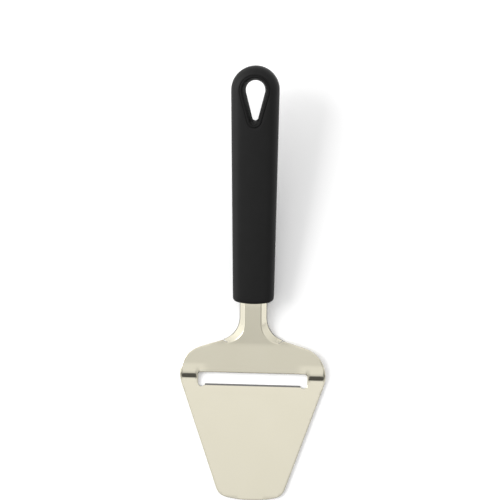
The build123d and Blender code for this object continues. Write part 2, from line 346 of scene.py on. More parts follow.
def blanked_edge_and_painted_shade(tree, place):
    """The cut edges of the sheet, blanked in a press and tumbled: greyer and duller than its faces. On the
    rounding along the neck, its dark grey is also painted shade, standing in for the shade that falls along
    the neck's edges.
    Their fine tear is drawn at 0.3 mm, so that it shows."""
    tear = add_node(tree, "ShaderNodeTexNoise", Vector=place, Scale=1 / (0.3 * MM), Detail=3.0)
    worn = worn_by(tree, tear, (0.34, 0.5), 0.2, 0.03)
    return add_node(tree, "ShaderNodeBsdfPrincipled", Base_Color=linear("#5C5B59"), Metallic=1.0, **worn)


def moulded_soft_touch_elastomer(tree, place):
    """Thermoplastic elastomer moulded over the core: matt black with a fine spark-eroded grain, a little
    greyer where the grain stands up. The grain is 0.1 mm on the real skin and is drawn at 0.45 mm."""
    grain = add_node(tree, "ShaderNodeTexNoise", Vector=place, Scale=1 / (0.45 * MM))
    clouds = add_node(tree, "ShaderNodeTexNoise", Vector=place, Scale=1 / (9 * MM), Detail=3.0, Roughness=0.6)
    mixed = add_node(tree, "ShaderNodeMath", {"operation": "MULTIPLY"}, i0=grain, i1=clouds)
    tint = add_node(
        tree, "ShaderNodeMix", {"data_type": "RGBA"}, Factor=mixed,
        i6=linear("#101010"), i7=linear("#1C1C1C"),
    )
    return add_node(
        tree, "ShaderNodeBsdfPrincipled", Base_Color=tint.outputs[2], IOR=1.48, Specular_IOR_Level=0.22,
        **worn_by(tree, grain, (0.5, 0.64), 0.25, 0.05),
    )


def moulded_black_polypropylene(tree, place):
    """Polypropylene moulded in a stoned steel mould: a dull black with hardly any texture."""
    clouds = add_node(tree, "ShaderNodeTexNoise", Vector=place, Scale=1 / (2.5 * MM), Detail=3.0)
    return add_node(
        tree, "ShaderNodeBsdfPrincipled", Base_Color=linear("#0D0D0D"), IOR=1.49, Specular_IOR_Level=0.25,
        **worn_by(tree, clouds, (0.72, 0.8), 0.06, 0.05),
    )


def white_acrylic_light_table(tree, _):
    """Opal white acrylic with a sanded face, lit a little from below, so that it looks pure white."""
    return add_node(
        tree, "ShaderNodeBsdfPrincipled", Base_Color=linear("#FCFCFC"), Roughness=0.9,
        Emission_Color=linear("#FFFFFF"), Emission_Strength=0.11,
    )


# Blade: the bends of its sheet


def bent_sheet():
    """The underside and the upper side of the sheet, each as a list of (distance from the tip, height)."""
    bridge = LIP_DROP + STEP_RISE
    shoulder = bridge + (BRIDGE_END - STEP_AT - STEP_RUN) * tan(radians(BRIDGE_SLOPE))
    neck = shoulder + (NECK_BEND - BRIDGE_END) * tan(radians(SHOULDER_SLOPE))
    tang = neck + (TANG_BEND - NECK_BEND) * tan(radians(NECK_SLOPE))
    tang_end = tang + (TANG_END + SHEET - TANG_BEND) * tan(radians(TANG_SLOPE))
    corners = [
        (-SHEET, LIP_DROP), (STEP_AT, LIP_DROP), (STEP_AT + STEP_RUN, bridge), (BRIDGE_END, shoulder),
        (NECK_BEND, neck), (TANG_BEND, tang), (TANG_END + SHEET, tang_end),
    ]
    radii = (STEP_BEND, STEP_BEND, SOFT_BEND, SOFT_BEND, SOFT_BEND)
    under, upper = [], []

    def add_spot(spot, slope):
        under.append(spot)
        upper.append((spot[0] - SHEET * sin(slope), spot[1] + SHEET * cos(slope)))

    slopes = [atan((b[1] - a[1]) / (b[0] - a[0])) for a, b in zip(corners, corners[1:])]
    add_spot(corners[0], slopes[0])
    for corner, radius, first, second in zip(corners[1:], radii, slopes, slopes[1:]):
        reach = radius * tan(abs(second - first) / 2)
        start = (corner[0] - reach * cos(first), corner[1] - reach * sin(first))
        side = 1 if second > first else -1
        centre = (start[0] - side * radius * sin(first), start[1] + side * radius * cos(first))
        for k in range(BEND_PARTS + 1):
            slope = first + (second - first) * k / BEND_PARTS
            spot = (centre[0] + side * radius * sin(slope), centre[1] - side * radius * cos(slope))
            add_spot(spot, slope)
    add_spot(corners[-1], slopes[-1])
    return under, upper


def height_on(line, at):
    """The height of a line of (place, height) points at a place."""
    for (a, low), (b, high) in zip(line, line[1:]):
        if at <= b:
            return low + (high - low) * (at - a) / (b - a)
    return line[-1][1]


UNDER, UPPER = bent_sheet()

# Blade: its outline and its slot

TAPER = radians(SIDE_TAPER)
FALL = radians(SHOULDER_FALL)
SHOULDER_CENTRE = (BLADE_WIDTH / 2 - SHOULDER_RADIUS, WIDEST_AT)
SIDE_X = SHOULDER_CENTRE[0] + SHOULDER_RADIUS * cos(TAPER)
SIDE_AT = WIDEST_AT - SHOULDER_RADIUS * sin(TAPER)
SHOULDER_X = SHOULDER_CENTRE[0] + SHOULDER_RADIUS * sin(FALL)
SHOULDER_AT = WIDEST_AT + SHOULDER_RADIUS * cos(FALL)
FLARE_SWEEP = 90 - SHOULDER_FALL
FLARE_X = NECK_HALF + FLARE_RADIUS
FLARE_END_X = FLARE_X - FLARE_RADIUS * cos(radians(FLARE_SWEEP))
FLARE_END = SHOULDER_AT + (SHOULDER_X - FLARE_END_X) * tan(FALL)
FLARE_AT = FLARE_END + FLARE_RADIUS * sin(radians(FLARE_SWEEP))
CREASE_X, CREASE_AT = FLAT_HALF + CREASE_RADIUS, FLARE_AT - CREASE_BELOW_FLARE
CREASE_END_X = CREASE_X - CREASE_RADIUS * cos(radians(CREASE_SWEEP))
CREASE_END = CREASE_AT - CREASE_RADIUS * sin(radians(CREASE_SWEEP))
FLANGE_END_GRADIENT = (FLARE_END - CREASE_END) / (FLARE_END_X - CREASE_END_X)
RELIEF_X = SLOT_HALF - RELIEF_RADIUS
RELIEF_AT = EDGE_AT + RELIEF_RISE
LIP_ROOT = RELIEF_AT - RELIEF_RADIUS
LIP_END_X = RELIEF_X - sqrt(RELIEF_RADIUS**2 - RELIEF_RISE**2)
LIP_LENGTH = EDGE_AT - LIP_ROOT
BEVEL_AT = EDGE_AT - BEVEL_RUN

# Spacing of the points along the outlines, and how many parts their arcs have
SLIT_SPACING, SLOT_END_SPACING, EDGE_SPACING, SIDE_SPACING = 0.4, 0.5, 0.8, 1.2
TANG_SPACING, TANG_END_SPACING = 2.5, 1.5
TIP_PARTS, SHOULDER_PARTS, FLARE_PARTS = 14, 34, 26
TANG_PARTS, HOLE_PARTS, RELIEF_PARTS, SLOT_PARTS = 6, 24, 18, 9


def tip_corner():
    """The centre of the arc between the tip's crown and the tapered side, which lies inside both, and the
    angle at which the crown ends."""
    base = SIDE_X * cos(TAPER) - SIDE_AT * sin(TAPER) - TIP_CORNER
    gap = TIP_CROWN - TIP_CORNER
    turn = -TAPER - acos((base + TIP_CROWN * sin(TAPER)) / gap)
    return (gap * cos(turn), TIP_CROWN + gap * sin(turn)), degrees(turn)


def slit_outline():
    """The slit between a flange's end and the shoulder, from the shoulder's side round to the flange's."""
    along = Vector((FLARE_END_X - CREASE_END_X, FLARE_END - CREASE_END)).normalized()
    aside = Vector((-along.y, along.x)) * SLIT_HALF
    mouth, root = Vector((FLARE_END_X, FLARE_END)), Vector((CREASE_END_X, CREASE_END))
    slit = [tuple(mouth - aside), *run(mouth - aside, root - aside, SLIT_SPACING), tuple(root - aside)]
    slit += [tuple(root - along * SLIT_HALF), tuple(root + aside)]
    return slit + [*run(root + aside, mouth + aside, SLIT_SPACING), tuple(mouth + aside)]


def blade_outline():
    """The blade's outline from above."""
    corner, crown_end = tip_corner()
    half = arc((0, TIP_CROWN), TIP_CROWN, -90, crown_end, TIP_PARTS)
    half[0] = (0, 0)
    half += arc(corner, TIP_CORNER, crown_end, -SIDE_TAPER, TIP_PARTS)[1:]
    half += run(half[-1], (SIDE_X, SIDE_AT), SIDE_SPACING)
    half += arc(SHOULDER_CENTRE, SHOULDER_RADIUS, -SIDE_TAPER, 90 - SHOULDER_FALL, SHOULDER_PARTS)
    slit = slit_outline()
    half += run(half[-1], slit[0], EDGE_SPACING) + slit
    half += arc((FLARE_X, FLARE_AT), FLARE_RADIUS, 180 + FLARE_SWEEP - SLIT_TURN, 180, FLARE_PARTS)
    neck_end = (NECK_HALF, FLANGE_END - TANG_SHOULDER_RUN)
    half += run(half[-1], neck_end, EDGE_SPACING)
    half += [neck_end, (TANG_HALF + TANG_SHOULDER, FLANGE_END), (TANG_HALF, TANG_START)]
    half += run(half[-1], (TANG_HALF, TANG_END - TANG_CORNER), TANG_SPACING)
    half += arc((TANG_HALF - TANG_CORNER, TANG_END - TANG_CORNER), TANG_CORNER, 0, 90, TANG_PARTS)
    half += run(half[-1], (0, TANG_END), TANG_END_SPACING) + [(0, TANG_END)]
    return mirrored(half)


def slot_outline():
    """The slot, turned left, with its cutting edge towards the tip and a round relief at both its ends."""
    end = 180 + degrees(asin(RELIEF_RISE / RELIEF_RADIUS))
    half = [(0, EDGE_AT)] + run((0, EDGE_AT), (LIP_END_X, EDGE_AT), EDGE_SPACING)
    half += arc((RELIEF_X, RELIEF_AT), RELIEF_RADIUS, end, 360, RELIEF_PARTS)
    half += run(half[-1], (SLOT_HALF, SLOT_TOP - SLOT_CORNER), SLOT_END_SPACING)
    half += arc((SLOT_HALF - SLOT_CORNER, SLOT_TOP - SLOT_CORNER), SLOT_CORNER, 0, 90, SLOT_PARTS)
    half += run(half[-1], (0, SLOT_TOP), EDGE_SPACING) + [(0, SLOT_TOP)]
    return mirrored(half)


# Blade: its heights

# How far beyond the neck's own shape its fold and its rounding are looked for
FOLD_MARGIN, FOLD_INSIDE, NECK_MARGIN = 1.0, 1.5, 0.3
# Degrees along the corner's arc at which its roll starts and ends, and over which it rises and fades
ROLL_START, ROLL_RISE, ROLL_END, ROLL_FADE = 1, 7, 20, 20


def fold(x, at, shift):
    """How far the flange lies below the flat of the channel, for a fold line moved outward by a shift."""
    x = abs(x)
    if at < CREASE_END - FOLD_MARGIN or at > FLANGE_END + FOLD_MARGIN:
        return 0
    if x > CREASE_END_X and at < CREASE_END + FLANGE_END_GRADIENT * (x - CREASE_END_X):
        return 0
    past = x - FLAT_HALF if at > CREASE_AT else CREASE_RADIUS - hypot(x - CREASE_X, at - CREASE_AT)
    left = NECK_HALF - x if at > FLARE_AT else hypot(x - FLARE_X, at - FLARE_AT) - FLARE_RADIUS
    if past < -FOLD_INSIDE:
        return 0
    steep = FLANGE_DEPTH / max(LEAST_FLANGE, past + max(0, left))
    past += shift * SHEET * tan(atan(steep) / 2)
    reach = FOLD_RADIUS * tan(atan(steep) / 2)
    if past <= -reach:
        drop = 0
    elif past < reach * cos(atan(steep)):
        drop = FOLD_RADIUS - sqrt(FOLD_RADIUS**2 - (past + reach) ** 2)
    else:
        drop = steep * past
    fade = 1 - ease((at - FLANGE_END + FLANGE_FADE) / FLANGE_FADE)
    return min(drop, FLANGE_DEPTH + SHEET) * fade


def lip(x, at):
    """How far the cutting lip is bent down at a place."""
    if abs(x) > RELIEF_X or at < LIP_ROOT - LIP_BEND or at > EDGE_AT + TOUCH:
        return 0
    past = at - LIP_ROOT
    eased = (past + LIP_BEND) ** 2 / (4 * LIP_BEND) if past < LIP_BEND else past
    return LIP_DROP * min(1, eased / LIP_LENGTH)


def roll(x, at):
    """How far the press has rolled down the shoulder's outer corner."""
    across, up = abs(x) - SHOULDER_CENTRE[0], at - WIDEST_AT
    if across <= 0:
        return 0
    gap = SHOULDER_RADIUS - hypot(across, up)
    turn = atan(up / across)
    share = ease((turn - radians(ROLL_START)) / radians(ROLL_RISE))
    share *= 1 - ease((turn - radians(ROLL_END)) / radians(ROLL_FADE))
    return share * CORNER_ROLL * max(0, 1 - gap / CORNER_ROLL_RUN) ** CORNER_ROLL_CURVE


def step_ends(line, x, at):
    """How far a line of the sheet departs from its plain bends. The step runs out softly at both ends of
    each bridge, the bridges slope a little, and between them the shoulder slopes down to the slot."""
    x = abs(x)
    change = 0
    if SOFT_STEP_START < at < SOFT_STEP_END:
        low, high = height_on(line, SOFT_STEP_START), height_on(line, SOFT_STEP_END)
        soft = low + (high - low) * ease((at - SOFT_STEP_START) / (SOFT_STEP_END - SOFT_STEP_START))
        by_slot = ease(1 - abs(x - SLOT_HALF - SOFT_BY_SLOT) / SOFT_BY_SLOT_RUN)
        by_side = ease((x - BLADE_WIDTH / 2 + SOFT_BY_SIDE) / SOFT_BY_SIDE_RUN)
        change = max(by_slot, by_side) * (soft - height_on(line, at))
    blended = BRIDGE_END + BRIDGE_BLEND
    if STEP_AT < at < blended:
        place = max(at, SLOT_TOP)
        straight = height_on(line, blended) - (blended - place) * tan(radians(SHOULDER_SLOPE))
        share = BRIDGE_SHARE + (1 - BRIDGE_SHARE) * ease((PLAIN_SHOULDER_HALF - x) / PLAIN_SHOULDER_BLEND)
        share *= ease((at - STEP_AT) / (SLOT_TOP - STEP_AT))
        change += share * (straight - height_on(line, place))
    return change


def upper_height(x, at):
    """The height of the upper side. The bevel falls evenly to the land of the cutting edge."""
    if abs(x) <= RELIEF_X and BEVEL_AT < at <= EDGE_AT + TOUCH:
        start = LIP_DROP + SHEET - lip(x, BEVEL_AT)
        return start + (EDGE_LAND - start) * ((at - EDGE_AT + BEVEL_RUN) / BEVEL_RUN)
    return height_on(UPPER, at) + step_ends(UPPER, x, at) - fold(x, at, 0) - lip(x, at) - roll(x, at)


def under_height(x, at):
    """The height of the underside. A flange ends in an edge that is cut level."""
    low = height_on(UNDER, at) + step_ends(UNDER, x, at) - fold(x, at, 1) - lip(x, at) - roll(x, at)
    edge = height_on(UPPER, at) - FLANGE_DEPTH - FLANGE_EDGE
    return max(low, edge) if fold(x, at, 0) > 0 else low


def edge_round(x, at):
    """The radius of the rounding at a place of the outline, kept small where room is short."""
    if EDGE_AT - TOUCH < at < EDGE_AT + TOUCH and abs(x) < LIP_END_X + TOUCH:
        return KEEN_ROUND
    if LIP_END_X <= abs(x) <= RELIEF_X and at < RELIEF_AT and at > LIP_ROOT:
        return RELIEF_ROUND
    if CREASE_END - NECK_MARGIN < at < FLANGE_END and abs(x) < FLARE_END_X + NECK_MARGIN:
        return NECK_ROUND + NECK_ROUND_GAIN * ease((at - FLARE_END - NECK_ROUND_AT) / NECK_ROUND_RUN)
    return EDGE_ROUND


# Blade: its mesh

# How far the rings of a rounding lie inside the outline, as shares of its radius: 0, 30, 60 and 90 degrees
ROUND_SHARES = (0, 0.134, 0.5, 1)
# Points across a flange, by their distance from its crease and as shares of its width
FOLD_GAPS = (-0.75, -0.45, -0.28, -0.14, 0, 0.14, 0.28, 0.45)
FOLD_SHARES = [0.4, 0.62, 0.82]
FOLD_SPACING, CREASE_SPACING, CREASE_PARTS = 0.8, 0.6, 30
FOLD_ROOM, CREASE_ROOM = 1.6, 2
# Arcs of points inside the shoulder's corners, by their distance from the outline
CORNER_GAPS = (0.7, 1.1, 1.5, 1.9, 2.4)
CORNER_START, CORNER_END, CORNER_PARTS = -6, 64, 25
# Room between the rows along the lip and the reliefs: their end, and the ring of the rounding
ROW_ROOM, ROW_RING_ROOM = 0.1, 0.12
# Start, end and spacing of the grid's rows, which are closest at the step, and of its columns
GRID_ROWS = (
    (1, 56, 1.6), (56.9, 60.9, 0.7), (61.3, 67.2, 0.22), (67.6, 84.4, 0.55), (84.9, TANG_END - 1, 0.9),
)
GRID_COLUMNS = (-37.2, 37.2, 1.2)
GRID_ROOM = 0.42
LEAST_SHEET = 0.04
# Painted shade: the edge's rounding takes the dark cut finish from this far below the flare's end, along the
# neck
SHADE_BELOW_FLARE = 0.5
SHEET_FINISH, BEVEL_FINISH, CUT_AND_SHADE_FINISH = 0, 1, 2


def flange_points():
    """Points in rows across each flange, from the flat of the channel out to its free edge."""
    straight = steps(FLARE_AT, FLANGE_END - FOLD_ROOM, FOLD_SPACING)[::-1]
    ends = [((FLAT_HALF, at), (NECK_HALF, at)) for at in straight]
    crease = [(FLAT_HALF, at) for at in steps(CREASE_AT, FLARE_AT, CREASE_SPACING)[-2:0:-1]]
    crease_end = 180 + CREASE_SWEEP - CREASE_ROOM
    crease += arc((CREASE_X, CREASE_AT), CREASE_RADIUS, 180, crease_end, CREASE_PARTS)
    free_end = 180 + FLARE_SWEEP - CREASE_ROOM
    free = arc((FLARE_X, FLARE_AT), FLARE_RADIUS, 180, free_end, len(crease) - 1)
    points = []
    for side in (-1, 1):
        for inner, outer in ends + list(zip(crease, free)):
            over = Vector(outer) - Vector(inner)
            shares = [gap / over.length for gap in FOLD_GAPS] + FOLD_SHARES
            points += [(side * (inner[0] + over.x * t), inner[1] + over.y * t) for t in shares]
    return points


def corner_points():
    """Points in arcs inside the shoulder's two corners."""
    points = []
    for side in (-1, 1):
        for gap in CORNER_GAPS:
            radius = SHOULDER_RADIUS - gap
            curve = arc(SHOULDER_CENTRE, radius, CORNER_START, CORNER_END, CORNER_PARTS)
            points += [(side * x, at) for x, at in curve]
    return points


def lip_rows():
    """Rows of points along the bend of the lip and along its bevel, between the two reliefs."""
    rows = []
    for at in (LIP_ROOT - LIP_BEND, LIP_ROOT, LIP_ROOT + LIP_BEND, BEVEL_AT, EDGE_AT - BEVEL_RUN / 2):
        relief = sqrt(max(0, (RELIEF_RADIUS + ROW_RING_ROOM) ** 2 - (RELIEF_AT - at) ** 2))
        reach = RELIEF_X - ROW_ROOM - relief
        rows.append([(x, at) for x in steps(-reach, reach, EDGE_SPACING)])
    return rows


def make_blade(materials):
    """The blade with its sheet, bevel and cut finishes. The dark cut finish also paints shade along the
    neck's edges.
    """
    outline, slot = blade_outline(), slot_outline()
    outline = inset(outline, [HAIR] * len(outline))
    holes = [arc((0, TANG_START + at), TANG_HOLE_RADIUS, 0, 360, HOLE_PARTS)[:-1] for at in TANG_HOLES_AT]
    points, depth, loops = [], [], []
    for loop, side in [(outline, 1), (slot, -1)] + [(hole, -1) for hole in holes]:
        radii = [edge_round(*p) for p in loop]
        for share in ROUND_SHARES:
            loops.append(add_points(points, inset(loop, [side * share * radius for radius in radii])))
            depth += [radius - sqrt(max(0, radius**2 - (radius * (1 - share)) ** 2)) for radius in radii]
    points += flange_points() + corner_points()
    rows = [add_points(points, row) for row in lip_rows()]
    places = [at for start, end, step in GRID_ROWS for at in steps(start, end, step)]
    points += spread(outline, [slot] + holes, points, places, steps(*GRID_COLUMNS), GRID_ROOM)
    depth += [0] * (len(points) - len(depth))

    borders = loops[::len(ROUND_SHARES)]
    triangles = fill(points, loops, borders[0], borders[1:], rows)
    count = len(points)
    upper = [(x, at - LENGTH / 2, upper_height(x, at) - d) for (x, at), d in zip(points, depth)]
    under = [(x, at - LENGTH / 2, under_height(x, at) + d) for (x, at), d in zip(points, depth)]
    under = [(x, y, min(z, top[2] - LEAST_SHEET)) for (x, y, z), top in zip(under, upper)]
    sides = walls(triangles, count)
    faces = triangles + turned_over(triangles, count) + sides

    def on_bevel(face):
        spots = [points[k] for k in face]
        return all(BEVEL_AT - TOUCH < at < EDGE_AT + TOUCH and abs(x) < RELIEF_X for x, at in spots)

    # The rounding along the neck, which the dark cut finish paints with shade
    def on_neck_edge_shade(face):
        rounding = len(outline) * len(ROUND_SHARES)
        return all(k < rounding and points[k][1] > FLARE_END - SHADE_BELOW_FLARE for k in face)

    # The rounding of the neck's cut edge is painted dark as shade, and that of the spade is as pale as the
    # sheet
    under_finishes = [CUT_AND_SHADE_FINISH if on_neck_edge_shade(face) else SHEET_FINISH for face in triangles]
    finishes = [BEVEL_FINISH if on_bevel(face) else f for face, f in zip(triangles, under_finishes)]
    finishes += under_finishes + [CUT_AND_SHADE_FINISH] * len(sides)
    new_piece("stamped_blade", upper + under, faces, "blade", materials, 32, finishes)


# Handle: its form

HALF_THICK = BUTT_THICK / 2
NOSE_HALF_THICK = HALF_THICK - HANDLE_DRAW
BUTT_REACH = LENGTH - NOSE_AT - LONG_EDGE - (HALF_THICK - LONG_EDGE) * sin(HANDLE_RISE)
EYE_AT = BUTT_REACH / cos(HANDLE_RISE) + LONG_EDGE - BUTT_HALF
DRAW = atan(HANDLE_DRAW / EYE_AT)
CHIN = NOSE_HALF_THICK + NOSE_EDGE * (tan(DRAW) - 1 / cos(DRAW))
NOSE_HEIGHT = CHIN * cos(HANDLE_RISE) + NOSE_EDGE * (1 - sin(HANDLE_RISE))
CROWN_LOW = HALF_THICK - CROWN
FILLET_X = BUTT_HALF - LONG_EDGE
FILLET_Z = CROWN_LOW + sqrt((CROWN - LONG_EDGE) ** 2 - FILLET_X**2)
# Turn of the long edge's rounding at which the faces' mesh ends and the strips round the edge begin
ZONE_TURN = radians(66)
STRIPS = 10
BUTT_PARTS = 48
DROP_NARROW_PARTS, DROP_SIDE_PARTS, DROP_WIDE_PARTS = 12, 16, 22
# Rows of points over the nose's rounding, and the reach and spacing of the points on the faces
NOSE_ROWS = (0, 0.06, 0.2, 0.42, 0.7, 1.05, NOSE_EDGE)
NOSE_REACH, NOSE_SPACING, NOSE_END_SPACING = 6.6, 1.1, 1.0
STATION_SPACING = 1.5
FACE_START, FACE_END, FACE_REACH, FACE_SPACING, FACE_ROOM = 1.2, 9, 10, 1.3, 0.55
# Gaps between the ring and the rings of points round the skin's mouth, whose edge is rounded into the groove
MOUTH_GAPS = (0.02, 0.07, 0.17, 0.37)


def handle_place(scale):
    """The turn and the move that put the handle in its place, for sizes in millimetres times a scale."""
    move = Matrix.Translation((0, (NOSE_AT - LENGTH / 2) * scale, NOSE_HEIGHT * scale))
    return move @ Matrix.Rotation(HANDLE_RISE, 4, "X")


TO_HANDLE = handle_place(1)


def draw_in(at):
    """How far all sides of the handle have drawn in at a distance from the nose."""
    return HANDLE_DRAW * max(0, EYE_AT - at) / EYE_AT


def nose_round(at):
    """How far the rounding of the nose has drawn in its sides."""
    return NOSE_EDGE - sqrt(NOSE_EDGE**2 - (NOSE_EDGE - at) ** 2) if at < NOSE_EDGE else 0


def face_height(x, at, inside):
    """The height of the handle's upper face above its middle, with its section drawn in by a distance."""
    out = hypot(x, at - EYE_AT) if at > EYE_AT else abs(x)
    if out <= FILLET_X * (CROWN - inside) / (CROWN - LONG_EDGE):
        return CROWN_LOW + sqrt((CROWN - inside) ** 2 - out**2)
    return FILLET_Z + sqrt(max(0, (LONG_EDGE - inside) ** 2 - (out - FILLET_X) ** 2))


def bowed(x, at, z):
    """A point of the handle with the bow of its nose, whose upper edge is furthest forward in the middle."""
    fade = max(0, 1 - at / NOSE_BOW_RUN) ** 2
    back = NOSE_BOW * (x / BUTT_HALF) ** 2 - NOSE_RAKE * ease((z / NOSE_HALF_THICK + 1) / 2)
    return TO_HANDLE @ Vector((x, at + back * fade, z))


def drop_outline(wide, narrow, distance):
    """A drop, turned left: a wide arc and a narrow arc joined by the two lines that touch both."""
    lean = degrees(asin((wide - narrow) / distance))
    half = arc((0, EYE_AT - distance), narrow, -90, -lean, DROP_NARROW_PARTS)
    start = half[-1]
    rest = arc((0, EYE_AT), wide, -lean, 90, DROP_WIDE_PARTS)
    side = hypot(rest[0][0] - start[0], rest[0][1] - start[1])
    half += run(start, rest[0], side / DROP_SIDE_PARTS) + rest
    half[0], half[-1] = (0, EYE_AT - distance - narrow), (0, EYE_AT + wide)
    return mirrored(half)


def ring_outline(outside):
    """The ring's drop, grown outward."""
    return drop_outline(RING_WIDE + outside, RING_NARROW + outside, RING_DISTANCE)


def side_stations():
    """Stations from the nose up the handle's right side, round the butt and back. Each has its stretch and
    its distance from the nose or, on the butt, its turn in degrees."""
    places = list(NOSE_ROWS) + steps(NOSE_EDGE, EYE_AT, STATION_SPACING)[1:]
    butt = [("butt", 180 * k / BUTT_PARTS) for k in range(1, BUTT_PARTS)]
    return [("right", at) for at in places] + butt + [("left", at) for at in reversed(places)]


def station_at(station):
    """The distance from the nose at which the draw of a station is taken."""
    return EYE_AT if station[0] == "butt" else station[1]


def beside(station, out):
    """The point in plan at a distance out from the handle's middle line."""
    stretch, value = station
    if stretch == "butt":
        return (out * cos(radians(value)), EYE_AT + out * sin(radians(value)))
    return (out if stretch == "right" else -out, value)


def zone_out(station):
    """How far out the faces' mesh reaches at a station."""
    at = station_at(station)
    return FILLET_X + (LONG_EDGE - draw_in(at) - nose_round(at)) * cos(ZONE_TURN)


def handle_surface(mouth_gaps):
    """The faces of the handle's surface, which is open at the nose and round the eye, and a function that
    places its points."""
    stations = side_stations()
    zone = [beside(station, zone_out(station)) for station in stations]
    border = zone + run(zone[-1], zone[0], NOSE_END_SPACING)
    rings = [ring_outline(gap) for gap in mouth_gaps]
    points = list(border)
    loops = [list(range(len(border)))]
    groove = [0] * len(points)
    for gap, ring in zip(mouth_gaps, rings):
        loops.append(add_points(points, ring))
        left = mouth_gaps[-1] - gap
        groove += [GROOVE - sqrt(max(0, GROOVE**2 - left**2)) if len(mouth_gaps) > 1 else 0] * len(ring)
    points += [(x, at) for at in NOSE_ROWS[1:] for x in steps(-NOSE_REACH, NOSE_REACH, NOSE_SPACING)]
    rows = steps(NOSE_EDGE + FACE_START, EYE_AT + FACE_END, FACE_SPACING)
    columns = steps(-FACE_REACH, FACE_REACH, FACE_SPACING)
    points += spread(border, [rings[-1]], points, rows, columns, FACE_ROOM)
    groove += [0] * (len(points) - len(groove))
    triangles = fill(points, loops, loops[0], loops[1:2])

    # Upper face, lower face, and the strips that join them round the long edges
    count = len(points)
    table = [(x, at, side, None, g) for side in (1, -1) for (x, at), g in zip(points, groove)]
    faces = triangles + turned_over(triangles, count)
    above = list(range(len(zone)))
    shares = [k / STRIPS for k in range(STRIPS - 1, -1, -1)]
    for side, share in [(1, share) for share in shares] + [(-1, share) for share in reversed(shares)]:
        row = add_points(table, [(station, None, side, share, 0) for station in stations])
        faces += [(a, row[k], row[k + 1], above[k + 1]) for k, a in enumerate(above[:-1])]
        above = row
    low = [k + count for k in range(len(zone))]
    faces += [(a, low[k], low[k + 1], above[k + 1]) for k, a in enumerate(above[:-1])]

    def placed(inside, rounded):
        """The surface's points, drawn in by a distance, with or without the rounding of the nose."""
        result = []
        for x, at, side, share, g in table:
            if share is None:
                extra = draw_in(at) + inside + (nose_round(at) if rounded else 0)
                result.append((x, at, side * (face_height(x, at, extra) - (g if rounded else 0))))
                continue
            place = station_at(x)
            radius = LONG_EDGE - draw_in(place) - inside - (nose_round(place) if rounded else 0)
            turn = share * acos(min(1, (zone_out(x) - FILLET_X) / radius))
            out = FILLET_X + radius * cos(turn)
            result.append((*beside(x, out), side * (FILLET_Z + radius * sin(turn))))
        return result

    return placed, faces


# Handle: its pieces


def make_skin(material):
    """The soft skin: a shell whose inside is the core's outside."""
    placed, faces = handle_surface(MOUTH_GAPS)
    outer, inner = placed(HAIR, True), placed(SKIN, False)
    count = len(outer)
    faces = faces + turned_over(faces, count) + walls(faces, count)
    points = [bowed(*p) for p in outer + inner]
    new_piece("soft_skin", points, faces, "soft_grip", [material], 40)


def make_core(material):
    """The hard core inside the skin, with a flat nose and a wall round the eye."""
    placed, faces = handle_surface((0.0,))
    points = placed(SKIN + CORE_ROOM, False)
    loops = open_loops(faces)
    nose = max(loops, key=lambda loop: -sum(points[k][1] for k in loop) / len(loop))
    eye_loops = [loop for loop in loops if min(points[k][1] for k in loop) > NOSE_EDGE]
    upper, lower = sorted(eye_loops, key=lambda loop: -points[loop[0]][2])
    plan = [(round(x, 3), round(at, 3)) for x, at, _ in points]
    below = {plan[k]: k for k in lower}
    pairs = [below[plan[k]] for k in upper]
    faces = faces + [(upper[k], upper[k - 1], pairs[k - 1], pairs[k]) for k in range(len(upper))]
    faces += [(nose[k], nose[k - 1], len(points)) for k in range(len(nose))]
    points.append((0, 0, 0))
    # The core's end stands back a little from the edge of the skin
    points = [bowed(x, at + CORE_NOSE_ROOM if at < NOSE_ROWS[2] else at, z) for x, at, z in points]
    new_piece("hard_core", points, faces, "handle_core", [material], 30)


